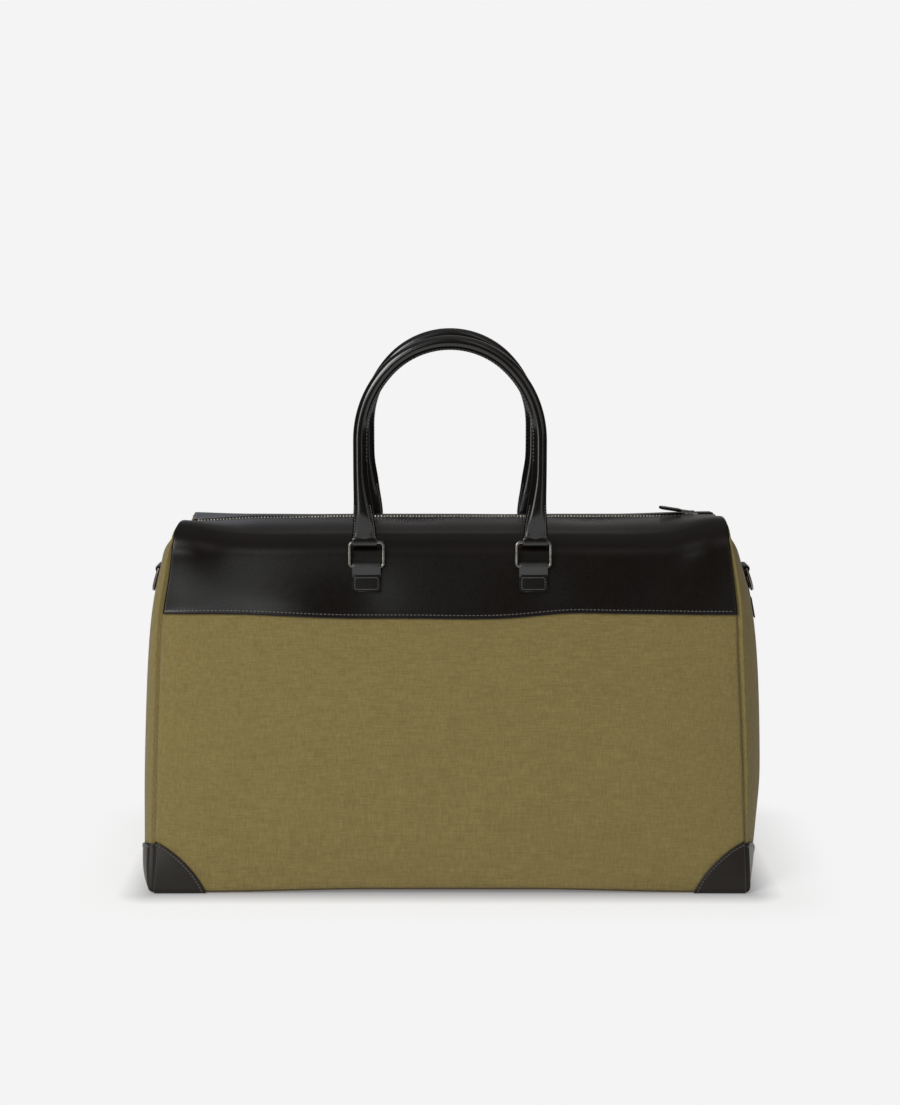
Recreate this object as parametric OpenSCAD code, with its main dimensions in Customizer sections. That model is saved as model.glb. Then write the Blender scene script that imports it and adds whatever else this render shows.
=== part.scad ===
// Soft weekend duffel bag: canvas body, leather yoke and corner patches, two rolled
// handles on rectangular rings, a straight top zip and a D-ring at each end.
// Frame: X along the bag, front is -Y, +Z up, origin at the middle of the base.

/* [Body] */
// Length of the base between the end seams
base_l = 490; // [460:5:520]
// Depth of the base between the front and rear seams
base_d = 230; // [220:2:240]
// Height of the leather beside the zip
crest_z = 298.5; // [290:0.5:310]
// Backward lean of the front and rear panels, in degrees
lean = 7; // [5:0.5:8]
// Radius of the shoulder between a panel and the top
shoulder_r = 22; // [16:1:30]
// Height of the seam between the canvas and the leather yoke
yoke_z = 226; // [205:1:240]
// How far the left end panel bulges past its seams
left_bulge = 12.5; // [8:0.5:20]
// How far the right end panel bulges past its seams
right_bulge = 19; // [12:0.5:24]

/* [Materials] */
// Thickness of the canvas panels and of the base panel
canvas_t = 2; // [1.2:0.2:2.4]
// Thickness of one layer of strap leather
strap_t = 1.7; // [1.4:0.1:1.8]
// Thickness of a leather corner patch
patch_t = 1.2; // [0.8:0.1:1.6]
// Thickness of the lining
lining_t = 0.8; // [0.6:0.1:1.2]
// Thickness of the stiff base board
board_t = 3; // [2:0.5:3]

/* [Corner patches] */
// Reach of a panel patch along the base
panel_patch_w = 43; // [30:1:60]
// Height of a panel patch
panel_patch_h = 42; // [30:1:55]
// Reach of an end patch along the base
end_patch_w = 79; // [50:1:90]
// Height of an end patch
end_patch_h = 40; // [30:1:55]

/* [Rings and handles] */
// Distance of each handle ring from the middle of the bag
ring_x = 68.5; // [60:0.5:71]
// Height of the middle of a handle ring
ring_z = 278; // [272:0.5:279]
// Inner width of a handle ring
ring_w = 25; // [25:0.5:27]
// Outer height of a handle ring
ring_h = 22.5; // [21:0.5:24]
// Diameter of the ring wire
wire_d = 2.8; // [2.4:0.1:3]
// Distance of each upright leg from the middle of the bag
leg_x = 74; // [72:0.5:78]
// Height of the top of the handles
apex_z = 457.5; // [440:0.5:480]
// Diameter of the rolled handles
handle_d = 12; // [11:0.5:13]
// Diameter of the cord core inside a handle
core_d = 8; // [6:0.5:8]

/* [End D-rings] */
// Inner width of a D-ring
d_ring_w = 25; // [25:0.5:27]
// Height of a D-ring from its bar to its round side
d_ring_h = 20; // [18:0.5:22]
// Height of the lower end of a D-ring tab
d_tab_z = 212; // [200:1:215]
// Length of the sewn part of a D-ring tab
d_tab_l = 40; // [36:1:42]

/* [Zip] */
// Where the slider stands when the zip is closed
slider_x = 206.5; // [195:0.5:208]
// Distance between teeth on one side
tooth_pitch = 2.7; // [2.5:0.1:6]
// Length of the pull
pull_l = 28; // [22:1:32]

/* [Hidden] */
$fn = 48;
fit = 0.3;             // gap between pieces that move past each other
sewn = 0.1;            // gap between pieces that are sewn together
dome_a = 6;            // slope of the top where it meets the shoulder
top_in = 21.5;         // how far each end seam comes in from base to crest
top_in_even = 5.8;     // the part of top_in that is spread over the whole height
tuck = 3;              // bulge of the end panel right at the base
tuck_h = 18;           // height over which the bulge grows from there
strap_w = 23.6;        // width of the ring tabs
loop_r = wire_d / 2 + fit + strap_t;
bore_r = wire_d / 2 + fit;
clear = 400;           // larger than half the bag, for cutting

// Section of the bag, in (y, z), as offsets from the outer face: straight panel,
// round shoulder, then a shallow dome up to the zip.
half_d = base_d / 2;
shoulder_dy = shoulder_r * (cos(lean) - sin(dome_a));
shoulder_dz = shoulder_r * (cos(dome_a) - sin(lean));
dome_k = tan(dome_a / 2);
face_top_z = (crest_z - shoulder_dz - dome_k * (half_d - shoulder_dy))
    / (1 - dome_k * tan(lean));
face_top_y = -half_d + face_top_z * tan(lean);
shoulder_c = [face_top_y + shoulder_r * cos(lean), face_top_z - shoulder_r * sin(lean)];
dome_r = -(face_top_y + shoulder_dy) / sin(dome_a);
dome_c = crest_z - dome_r;
arc_steps = 7;
dome_steps = 4;

function face_y(z, o = 0) = -half_d + z * tan(lean) - o / cos(lean);
function shoulder_pt(a, o) = shoulder_c + (shoulder_r + o) * [-sin(a), cos(a)];
function dome_pt(a, o) = [-(dome_r + o) * sin(a), dome_c + (dome_r + o) * cos(a)];
function dome_angle(y, o) = asin(y / (dome_r + o));
// From the face at height z over the shoulder to a distance y_end from the zip.
function upper(z, y_end, o) = concat(
    [[face_y(z, o), z]],
    [for (i = [0:arc_steps]) shoulder_pt(90 - lean - i * (90 - lean - dome_a) / arc_steps, o)],
    [for (i = [1:dome_steps])
        dome_pt(dome_a + i * (dome_angle(y_end, o) - dome_a) / dome_steps, o)]);
function reversed(v) = [for (i = [len(v) - 1:-1:0]) v[i]];
function mirrored(v) = [for (p = v) [-p[0], p[1]]];
// Half depth of the section at height z.
function half_at(z, o) =
    z < shoulder_pt(90 - lean, o)[1] ? -face_y(z, o)
    : z < shoulder_pt(dome_a, o)[1]
        ? -shoulder_c[0] + sqrt(pow(shoulder_r + o, 2) - pow(z - shoulder_c[1], 2))
    : sqrt(max(0, pow(dome_r + o, 2) - pow(z - dome_c, 2)));

// End seams, as distance from the middle at height z, and the bulge between them.
function seam_x(z) =
    let (t = min(1, z / crest_z))
    base_l / 2 - top_in_even * t - (top_in - top_in_even) * pow(t, 8);
function bulge(z, v, left) =
    let (most = left ? left_bulge : right_bulge,
        low = 1 - (1 - tuck / most) * exp(-z / tuck_h), high = 1 - pow(z / crest_z, 7))
    most * low * high * (1 - pow(abs(v), 3));
end_levels = [0, 60, 130, 200, 230, 252, 270, 284, 293, crest_z];

module along_x(points, length = 2 * clear) {
    rotate([90, 0, 90]) translate([0, 0, -length / 2]) linear_extrude(length) polygon(points);
}

// Everything between the two end seams, each moved in by inset.
module between_ends(inset) {
    side = [for (z = end_levels) [seam_x(z) - inset, z]];
    rotate([90, 0, 0]) translate([0, 0, -clear / 2]) linear_extrude(clear)
        polygon(concat(side, [[seam_x(crest_z) - inset, crest_z + 20]],
            reversed(concat(mirrored(side), [[inset - seam_x(crest_z), crest_z + 20]]))));
}

// Puts a child on the rear of the bag, or leaves it on the front.
module on_side(rear) {
    mirror([0, rear ? 1 : 0, 0]) children();
}

module on_end(left) {
    mirror([left ? 1 : 0, 0, 0]) children();
}

// ---- Base ----
module bottom_panel() {
    corner = 6;
    color("#4f4629") linear_extrude(canvas_t) union() {
        square([base_l - 2 * corner, base_d], center = true);
        square([base_l, base_d - 2 * corner], center = true);
        for (x = [-1, 1], y = [-1, 1])
            translate([x * (base_l / 2 - corner), y * (base_d / 2 - corner)]) circle(corner);
    }
}

module base_board() {
    margin = 6;
    color("#8c7a5a") translate([0, 0, canvas_t + sewn + board_t / 2])
        cube([base_l - 2 * margin, base_d - 2 * margin, board_t], center = true);
}

// ---- Front and rear ----
module canvas_panel(rear) {
    low = canvas_t + sewn;
    high = yoke_z - sewn;
    color("#786a42") on_side(rear) intersection() {
        along_x([[face_y(low), low], [face_y(high), high],
            [face_y(high, -canvas_t), high], [face_y(low, -canvas_t), low]]);
        between_ends(0);
    }
}

zip_slot = 7;          // half width of the gap between the two yokes
module leather_yoke(rear) {
    color("#1c1613") on_side(rear) intersection() {
        along_x(concat(upper(yoke_z, zip_slot, 0), reversed(upper(yoke_z, zip_slot, -canvas_t))));
        between_ends(0);
    }
}

// ---- Ends ----
end_t = 1.6;           // thickness of an end panel
end_rows = 18;
end_cols = 14;
end_low = canvas_t + sewn;
end_high = crest_z - canvas_t - end_t + sewn;
function row_z(i) = end_low + (end_high - end_low) * sin(90 * i / end_rows);
function end_pt(z, v, lift, left) =
    [seam_x(z) + bulge(z, v, left) + lift, v * (half_at(z, -canvas_t) - sewn), z];

// A closed sheet from a grid of outer and inner points, each (rows+1) x (cols+1).
module sheet(outer, inner, rows, cols) {
    n = (rows + 1) * (cols + 1);
    at = function (i, j) i * (cols + 1) + j;
    rim = concat(
        [for (j = [0:cols]) at(0, j)], [for (i = [1:rows]) at(i, cols)],
        [for (j = [cols - 1:-1:0]) at(rows, j)], [for (i = [rows - 1:-1:1]) at(i, 0)]);
    faces = concat(
        [for (i = [0:rows - 1], j = [0:cols - 1]) each
            [[at(i, j), at(i + 1, j), at(i + 1, j + 1)], [at(i, j), at(i + 1, j + 1), at(i, j + 1)]]],
        [for (i = [0:rows - 1], j = [0:cols - 1]) each
            [[n + at(i, j), n + at(i + 1, j + 1), n + at(i + 1, j)],
             [n + at(i, j), n + at(i, j + 1), n + at(i + 1, j + 1)]]],
        [for (k = [0:len(rim) - 1]) let (a = rim[k], b = rim[(k + 1) % len(rim)]) each
            [[a, b, n + b], [a, n + b, n + a]]]);
    polyhedron(concat(outer, inner), faces, convexity = 6);
}

module gusset(left) {
    cells = [for (i = [0:end_rows], j = [0:end_cols]) [row_z(i), 2 * j / end_cols - 1]];
    color("#685c38") on_end(left) sheet(
        [for (c = cells) end_pt(c[0], c[1], 0, left)],
        [for (c = cells) end_pt(c[0], c[1], -end_t, left)],
        end_rows, end_cols);
}

// ---- Corner patches ----
patch_power = 1.5;     // between a straight cut (2) and a quarter circle (1)
patch_steps = 12;
function patch_curve(w, h) = [for (i = [0:patch_steps]) let (a = 90 * i / patch_steps)
    [w * pow(cos(a), patch_power), h * pow(sin(a), patch_power)]];

module panel_patch(rear, left) {
    outline = concat([[0, 0]], patch_curve(panel_patch_w, panel_patch_h));
    color("#26211e") on_end(left) on_side(rear) intersection() {
        translate([0, -half_d, 0]) rotate([90 - lean, 0, 0]) translate([base_l / 2, 0, sewn])
            linear_extrude(patch_t) mirror([1, 0]) polygon(outline);
        between_ends(0);
        translate([-clear, -clear, end_low]) cube(2 * clear);
    }
}

module gusset_patch(rear, left) {
    rows = 5;
    cols = 9;
    gap = 0.4;
    reach = 0.97;          // the last column stops short of the curve's tip
    depth = half_d - canvas_t;
    top = function (s) end_patch_h * pow(sin(acos(min(1, pow(s, 1 / patch_power)))), patch_power);
    cells = [for (i = [0:rows], j = [0:cols]) let (
            s = reach * j / cols,
            z = end_low + (top(s) - end_low) * i / rows)
        [z, end_patch_w * s / depth - 1]];
    color("#26211e") on_end(left) on_side(rear) sheet(
        [for (c = cells) end_pt(c[0], c[1], gap + patch_t, left)],
        [for (c = cells) end_pt(c[0], c[1], gap, left)],
        rows, cols);
}

// ---- Lining ----
module lining_space(o, inset, low) {
    mouth = 1;
    half = upper(low, mouth, o);
    intersection() {
        along_x(concat(half, reversed(mirrored(half))));
        between_ends(inset);
    }
}

module lining() {
    gap = canvas_t + 2 * sewn;
    low = canvas_t + board_t + 2 * sewn;
    mouth_drop = 4;        // how far the opening for the zip cuts down into the lining
    color("#3b3a38") difference() {
        lining_space(-gap, gap, low);
        lining_space(-gap - lining_t, gap + lining_t, low + lining_t);
        translate([0, 0, crest_z])
            cube([2 * seam_x(crest_z) + 2, 2 * tape_w + 1, 2 * mouth_drop], center = true);
    }
}

// ---- Zip ----
chain_z = crest_z + 0.7;       // middle height of the teeth
tooth_h = 2.6;
tooth_in = 0.7;                // distance of the teeth from the middle of the zip
tooth_out = 3.1;
tooth_share = 0.45;            // part of the pitch that a tooth fills
tape_t = 0.7;
tape_w = 17;                   // distance of the tape's far edge from the middle
slider_l = 11;
slider_w = 9;
slider_t = 0.9;
stop_l = 3;
chain_right = slider_x + slider_l / 2 + 1;
chain_left = -slider_x - slider_l / 2 - 1;

module zip_tape(rear) {
    under = crest_z - canvas_t - sewn;
    bend_in = slider_w / 2 + 0.4;
    bend_out = zip_slot - sewn;
    end = seam_x(crest_z) - 1;
    slack = 0.25;          // the tape's far edge hangs this much lower
    color("#1b1a19") on_side(rear) along_x([
        [-tooth_out, chain_z - tape_t / 2], [-tooth_out, chain_z + tape_t / 2],
        [-bend_in, chain_z + tape_t / 2], [-bend_out, under],
        [-tape_w, under - slack], [-tape_w, under - tape_t - slack],
        [-bend_out, under - tape_t], [-bend_in, chain_z - tape_t / 2]], 2 * end);
}

module zip_teeth(rear) {
    count = floor((chain_right - chain_left) / tooth_pitch);
    color("#6f6b66") on_side(rear) for (i = [0:count - 1])
        translate([chain_left + (i + (rear ? 0.75 : 0.25)) * tooth_pitch,
                -(tooth_in + tooth_out) / 2, chain_z])
            cube([tooth_pitch * tooth_share, tooth_out - tooth_in, tooth_h], center = true);
}

module zip_stop(x) {
    for (y = [-1, 1])
        translate([x, y * (tooth_in + tooth_out) / 2, chain_z])
            cube([stop_l, tooth_out - tooth_in, tooth_h], center = true);
}

module zip_top_stops() {
    color("#6f6b66") zip_stop(chain_right + stop_l / 2 + sewn);
}

module zip_bottom_stop() {
    x = chain_left - stop_l / 2 - sewn;
    color("#6f6b66") union() {
        zip_stop(x);
        translate([x, 0, chain_z]) cube([stop_l, 2 * tooth_out, tooth_h], center = true);
    }
}

// The slider runs on the teeth; its post stands in the gap between the two rows.
plate_z = chain_z + tooth_h / 2 + fit;
crown_h = 2.6;
pin_r = 0.7;
pin_bore_r = 0.9;
pin_z = plate_z + slider_t + 1.3;
crown_l = 5.2;                 // length and width of the crown that holds the pin
crown_w = 2.2;
post_l = 4;
module zip_slider() {
    height = tooth_h + 2 * fit + 2 * slider_t;
    channel = 2 * (tooth_out + fit);
    color("#6f6b66") union() {
        difference() {
            translate([slider_x, 0, chain_z]) cube([slider_l, slider_w, height], center = true);
            translate([slider_x, 0, chain_z])
                cube([slider_l + 2, channel, tooth_h + 2 * fit], center = true);
            translate([slider_x, 0, chain_z])
                cube([slider_l + 2, slider_w + 2, tape_t + 2 * fit], center = true);
        }
        translate([slider_x + post_l / 2, 0, chain_z])
            cube([post_l, 2 * (tooth_in - fit), height - slider_t], center = true);
        difference() {
            translate([slider_x - crown_l / 2, -crown_w / 2, plate_z + slider_t / 2])
                cube([crown_l, crown_w, slider_t / 2 + crown_h]);
            translate([slider_x, 0, pin_z]) rotate([90, 0, 0])
                cylinder(r = pin_bore_r, h = 6, center = true);
        }
    }
}

// The pull lies towards the left with its free end a little up.
pull_tilt = 8.5;
pull_w = 9;
pull_t = 2.4;
arm_l = 8;
link_bar_l = 1.6;              // length of the bar at the link's far end
module on_pull() {
    translate([slider_x, 0, pin_z]) rotate([0, pull_tilt, 0]) children();
}

module zip_pull_link() {
    cheek = 1.1;           // thickness of each arm
    inside = 1.4;          // from the middle to an arm
    arm_h = 1.8;
    color("#6f6b66") on_pull() union() {
        rotate([90, 0, 0]) cylinder(r = pin_r, h = 2 * (inside + cheek), center = true);
        for (y = [-1, 1]) translate([0, y * (inside + cheek / 2), 0]) {
            rotate([90, 0, 0]) cylinder(r = cheek, h = cheek, center = true);
            translate([-arm_l / 2, 0, 0]) cube([arm_l, cheek, arm_h], center = true);
        }
        translate([-arm_l, 0, 0]) cube([link_bar_l, 2 * (inside + cheek), arm_h], center = true);
    }
}

module zip_pull_tab() {
    start = arm_l + link_bar_l / 2 + sewn;
    round_r = pull_w / 2;
    color("#231e1b") on_pull() translate([0, 0, -pull_t / 2]) linear_extrude(pull_t) union() {
        translate([-pull_l + round_r, 0]) circle(round_r);
        translate([-pull_l + round_r, -round_r]) square([pull_l - round_r - start, pull_w]);
    }
}

// ---- Rings and their tabs ----
// Moves to a place on the front face: up is along the face, -Y is out of it.
bar_gap = ring_h - wire_d;         // between the middles of the two bars
plane_o = loop_r + sewn;           // the ring's plane, out from the face
low_bar = (ring_z - plane_o * sin(lean)) / cos(lean) - bar_gap / 2;
module on_face(x, s, o) {
    translate([x, -half_d, 0]) rotate([-lean, 0, 0]) translate([0, -o, s]) children();
}

module bar_x(r, h) {
    rotate([0, 90, 0]) cylinder(r = r, h = h, center = true);
}

module handle_ring(rear, left) {
    corner = 3;
    wide = ring_w + wire_d;
    color("#5d5954") on_side(rear) on_end(left) on_face(ring_x, low_bar + bar_gap / 2, plane_o)
        union() {
            for (z = [-1, 1])
                translate([0, 0, z * bar_gap / 2]) bar_x(wire_d / 2, wide - 2 * corner);
            for (x = [-1, 1]) {
                translate([x * wide / 2, 0, 0])
                    cylinder(r = wire_d / 2, h = bar_gap - 2 * corner, center = true);
                for (z = [-1, 1])
                    translate([x * (wide / 2 - corner), 0, z * (bar_gap / 2 - corner)])
                        rotate([90, x * z > 0 ? (x > 0 ? 0 : 180) : (x > 0 ? 90 : 270), 0])
                            rotate_extrude(angle = 90) translate([corner, 0])
                                circle(wire_d / 2);
            }
        }
}

module ring_tab(rear, left) {
    sewn_l = 18;
    color("#211b18") on_side(rear) on_end(left) on_face(ring_x, low_bar, 0) difference() {
        union() {
            translate([0, -plane_o, 0]) bar_x(loop_r, strap_w);
            translate([-strap_w / 2, -2 * strap_t - sewn, -sewn_l - loop_r])
                cube([strap_w, 2 * strap_t, sewn_l + loop_r]);
        }
        translate([0, -plane_o, 0]) bar_x(bore_r, strap_w + 2);
    }
}

// ---- Handles ----
bar_y = -half_d + (low_bar + bar_gap) * sin(lean) - plane_o * cos(lean);
bar_z = (low_bar + bar_gap) * cos(lean) + plane_o * sin(lean);
end_w = 22.4;                      // width of the flat end round the ring
side_r = leg_x + 10;               // bend above each leg
bend_a = 45;
top_r = side_r - (side_r - leg_x) / cos(bend_a);
leg_top = apex_z - handle_d / 2 - top_r - (side_r - leg_x) * tan(bend_a);
leg_low = 322;                     // where the round leg begins to flatten
flat_h = loop_r + 3;               // height of the flat end over the ring's bar

module arc_xz(center, r, from, sweep, tube) {
    translate([center[0], 0, center[1]]) rotate([90, 0, 0]) rotate([0, 0, from])
        rotate_extrude(angle = sweep, $fn = 96) translate([r, 0]) circle(tube);
}

module roll(tube) {
    arc_xz([0, leg_top + (side_r - leg_x) * tan(bend_a)], top_r, 90 - bend_a, 2 * bend_a, tube);
    for (x = [0, 1]) mirror([x, 0, 0]) {
        arc_xz([leg_x - side_r, leg_top], side_r, 0, bend_a, tube);
        translate([leg_x, 0, leg_low]) cylinder(r = tube, h = leg_top - leg_low);
    }
}

module handle(rear) {
    color("#17120f") on_side(rear) translate([0, bar_y, 0]) difference() {
        union() {
            roll(handle_d / 2);
            for (x = [0, 1]) mirror([x, 0, 0]) {
                hull() {
                    translate([leg_x, 0, leg_low]) cylinder(d = handle_d, h = 1, $fn = 32);
                    translate([ring_x, 0, bar_z + flat_h])
                        cube([end_w, 2 * loop_r, 1], center = true);
                }
                translate([ring_x, 0, bar_z]) bar_x(loop_r, end_w);
                translate([ring_x, 0, bar_z + flat_h / 2])
                    cube([end_w, 2 * loop_r, flat_h], center = true);
            }
        }
        roll(core_d / 2 + sewn);
        for (x = [-1, 1]) translate([x * ring_x, 0, bar_z]) bar_x(bore_r, end_w + 2);
    }
}

module handle_core(rear) {
    color("#b9ab8c") on_side(rear) translate([0, bar_y, 0]) roll(core_d / 2);
}

// ---- End D-rings ----
d_tilt = 8;                        // how far the hanging ring stands off its tab
function end_face(z, left) = seam_x(z) + bulge(z, 0, left);
function end_slope(left) =
    atan((end_face(d_tab_z, left) - end_face(d_tab_z + d_tab_l, left)) / d_tab_l);
d_bar_s = d_tab_l + loop_r;
d_tab_lift = 0.9;                  // clearance of the flat tab from the bulging end
module on_gusset(left, s, o) {
    on_end(left) translate([end_face(d_tab_z, left) + d_tab_lift, 0, d_tab_z])
        rotate([0, -end_slope(left), 0]) translate([o, 0, s]) children();
}

module d_ring_tab(left) {
    color("#211b18") on_gusset(left, 0, 0) difference() {
        union() {
            translate([loop_r, 0, d_bar_s]) rotate([90, 0, 0])
                cylinder(r = loop_r, h = strap_w, center = true);
            translate([0, -strap_w / 2, 0]) cube([2 * strap_t, strap_w, d_bar_s]);
        }
        translate([loop_r, 0, d_bar_s]) rotate([90, 0, 0])
            cylinder(r = bore_r, h = strap_w + 2, center = true);
    }
}

module d_ring(left) {
    half = (d_ring_w + wire_d) / 2;
    straight = d_ring_h - half;
    color("#8b8781") on_gusset(left, d_bar_s, loop_r) rotate([0, -d_tilt, 0]) union() {
        rotate([90, 0, 0]) cylinder(d = wire_d, h = 2 * half, center = true);
        for (y = [-1, 1]) translate([0, y * half, -straight]) {
            cylinder(d = wire_d, h = straight);
            translate([0, 0, straight]) sphere(d = wire_d);
        }
        translate([0, 0, -straight]) rotate([90, 0, 90]) rotate([0, 0, 180])
            rotate_extrude(angle = 180) translate([half, 0]) circle(d = wire_d);
    }
}

bottom_panel();
base_board();
canvas_panel(false);  // front_canvas_panel
canvas_panel(true);  // rear_canvas_panel
leather_yoke(false);  // front_leather_yoke
leather_yoke(true);  // rear_leather_yoke
gusset(true);  // left_gusset
gusset(false);  // right_gusset
panel_patch(false, true);  // front_left_panel_patch
panel_patch(false, false);  // front_right_panel_patch
panel_patch(true, true);  // rear_left_panel_patch
panel_patch(true, false);  // rear_right_panel_patch
gusset_patch(false, true);  // front_left_gusset_patch
gusset_patch(false, false);  // front_right_gusset_patch
gusset_patch(true, true);  // rear_left_gusset_patch
gusset_patch(true, false);  // rear_right_gusset_patch
lining();
zip_tape(false);  // front_zip_tape
zip_tape(true);  // rear_zip_tape
zip_teeth(false);  // front_zip_teeth
zip_teeth(true);  // rear_zip_teeth
zip_top_stops();
zip_bottom_stop();
zip_slider();
zip_pull_link();
zip_pull_tab();
ring_tab(false, true);  // front_left_ring_tab
ring_tab(false, false);  // front_right_ring_tab
ring_tab(true, true);  // rear_left_ring_tab
ring_tab(true, false);  // rear_right_ring_tab
handle_ring(false, true);  // front_left_ring
handle_ring(false, false);  // front_right_ring
handle_ring(true, true);  // rear_left_ring
handle_ring(true, false);  // rear_right_ring
handle(false);  // front_handle
handle_core(false);  // front_handle_core
handle(true);  // rear_handle
handle_core(true);  // rear_handle_core
d_ring_tab(true);  // left_d_ring_tab
d_ring_tab(false);  // right_d_ring_tab
d_ring(true);  // left_d_ring
d_ring(false);  // right_d_ring
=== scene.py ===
"""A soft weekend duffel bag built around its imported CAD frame: lofted canvas and leather panels
with turned seams, corner patches, rolled handles on metal rings, a metal zip and end D-rings."""
import math
from itertools import product

import bmesh
import bpy
import numpy as np
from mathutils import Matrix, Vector


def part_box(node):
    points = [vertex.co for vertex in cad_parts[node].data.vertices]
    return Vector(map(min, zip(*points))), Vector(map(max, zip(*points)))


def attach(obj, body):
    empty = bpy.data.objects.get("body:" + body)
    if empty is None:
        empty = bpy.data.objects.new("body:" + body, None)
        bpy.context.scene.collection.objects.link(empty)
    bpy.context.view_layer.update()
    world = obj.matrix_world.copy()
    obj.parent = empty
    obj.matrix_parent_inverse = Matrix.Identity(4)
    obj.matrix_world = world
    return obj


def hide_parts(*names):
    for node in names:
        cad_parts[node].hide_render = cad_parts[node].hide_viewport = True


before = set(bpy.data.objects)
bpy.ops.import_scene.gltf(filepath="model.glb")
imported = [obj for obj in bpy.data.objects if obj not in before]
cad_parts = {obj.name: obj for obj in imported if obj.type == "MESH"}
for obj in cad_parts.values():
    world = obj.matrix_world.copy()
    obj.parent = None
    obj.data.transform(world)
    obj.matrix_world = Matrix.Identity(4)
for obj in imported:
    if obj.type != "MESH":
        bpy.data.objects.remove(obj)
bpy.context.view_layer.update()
MM = 0.001


def box_mm(node):
    """Lowest and highest corner of a CAD node, in millimetres."""
    return [np.array(corner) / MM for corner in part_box(node)]


# ---- Driving sizes, in millimetres: from the frame where it has them 
HALF_L, HALF_D = box_mm("bottom_panel")[1][:2]
CREST = box_mm("front_leather_yoke")[1][2]
SLOT = -box_mm("front_leather_yoke")[1][1]
LEAN = math.radians(7)            # backward lean of the front and rear panels
SHOULDER_R = 22.0                 # radius between a panel and the top
DOME_A = math.radians(6)          # slope of the top where it meets the shoulder
CANVAS_T = 1.5                    # thickness of the canvas
LEATHER_T = 1.6                   # thickness of the yoke leather
STRAP_T = 1.7                     # thickness of one layer of strap leather
YOKE_Z = 230                      # about the height where the yoke begins
WIRE_D = 2.8                      # wire of the handle rings and D-rings
SEAM_DEEP = 3.5                   # how far a turned seam goes in between two panels
SIDES = (("front", False), ("rear", True))
ENDS = (("left", False), ("right", True))

# Section of the bag from the base edge up the panel, over the shoulder, to the zip
SHOULDER_DY = SHOULDER_R * (math.cos(LEAN) - math.sin(DOME_A))
SHOULDER_DZ = SHOULDER_R * (math.cos(DOME_A) - math.sin(LEAN))
DOME_K = math.tan(DOME_A / 2)
FACE_TOP_Z = (CREST - SHOULDER_DZ - DOME_K * (HALF_D - SHOULDER_DY)) / (1 - DOME_K * math.tan(LEAN))
FACE_TOP_Y = -HALF_D + FACE_TOP_Z * math.tan(LEAN)
SHOULDER_C = np.array([FACE_TOP_Y + SHOULDER_R * math.cos(LEAN), FACE_TOP_Z - SHOULDER_R * math.sin(LEAN)])
DOME_R = -(FACE_TOP_Y + SHOULDER_DY) / math.sin(DOME_A)
DOME_C = CREST - DOME_R
FACE_S = FACE_TOP_Z / math.cos(LEAN)                       # length of the straight part
SHOULDER_S = FACE_S + SHOULDER_R * (math.pi / 2 - LEAN - DOME_A)
TOP_S = SHOULDER_S + DOME_R * DOME_A                       # the length up to the middle of the zip


def section(s):
    """Point (y, z) and outward normal of the front of the bag at a length s up its section."""
    if s <= FACE_S:
        direction = np.array([math.sin(LEAN), math.cos(LEAN)])
        return np.array([-HALF_D, 0]) + s * direction, np.array([-direction[1], direction[0]])
    if s <= SHOULDER_S:
        a = math.pi / 2 - LEAN - (s - FACE_S) / SHOULDER_R
        normal = np.array([-math.sin(a), math.cos(a)])
        return SHOULDER_C + SHOULDER_R * normal, normal
    a = DOME_A - (s - SHOULDER_S) / DOME_R
    normal = np.array([-math.sin(a), math.cos(a)])
    return np.array([0, DOME_C]) + DOME_R * normal, normal


def smooth(x, a, b):
    """0 up to a, 1 from b on, with a soft step between them."""
    t = min(1.0, max(0.0, (x - a) / (b - a)))
    return t * t * (3 - 2 * t)


def hump(x, middle, width):
    """A soft hump of height 1."""
    return math.exp(-((x - middle) / width) ** 2)


# End seams as (height, distance from the middle): the bag leans a little to the right, and its
# right end is drawn in under the yoke
LEFT_SEAM = ((0, 245), (60, 243.2), (140, 241), (200, 239), (231, 237), (258, 232.2), (278, 229.8),
             (293, 228), (295.5, 226.2), (CREST, 221))
RIGHT_SEAM = ((0, 244.6), (60, 243), (100, 242), (140, 240.4), (200, 237.6), (231, 237.3), (258, 234.2),
              (280, 231), (293, 230.2), (295.5, 229.6), (CREST, 226.5))
SEAM_SOFT = 7                     # reach, up and down, over which the corners of those lines are rounded
# Shallow hollows and swellings of the shell: depth, then middle and width along x and up the section
DENTS = ((-1.4, -182, 34, 272, 24), (2.6, -128, 42, 236, 20), (-1.2, 168, 50, 262, 24),
         (1.4, 190, 32, 236, 20))
TOP_DENTS = ((-1.5, -32, 24, TOP_S - 12, 22), (-1.1, 118, 22, TOP_S - 12, 22))
BELLY = 6.0                       # how far the middle of a panel swells out
CORNER_UP = (5.6, 7.2)            # how far the front's top corners, left and right, stand up squarely
LEFT_DIP, RIGHT_RISE = 3.0, 2.8   # how far the ends of the top sink and stand up


def seam_x(z, right):
    """Distance of an end seam from the middle at height z."""
    heights, places = zip(*(RIGHT_SEAM if right else LEFT_SEAM))
    reach = SEAM_SOFT * min(1.0, max(0.1, (CREST - z) / 30))
    return sum(float(np.interp(z + d * reach, heights, places)) for d in (-1, -0.5, 0, 0.5, 1)) / 5


def yoke_seam_s(x):
    """Length up the section where the leather yoke begins: it sags between the handles."""
    valley = smooth(x, -190, -72) * (1 - smooth(x, 35, 105))
    ripple = -0.5 * hump(x, 15, 30) + 0.7 * hump(x, 105, 30) - 0.9 * smooth(x, 150, 230)
    return (228.6 - 3.6 * valley + ripple) / math.cos(LEAN)


def dents(table, x, s):
    return sum(depth * hump(x, x0, wide) * hump(s, s0, tall) for depth, x0, wide, s0, tall in table)


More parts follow.
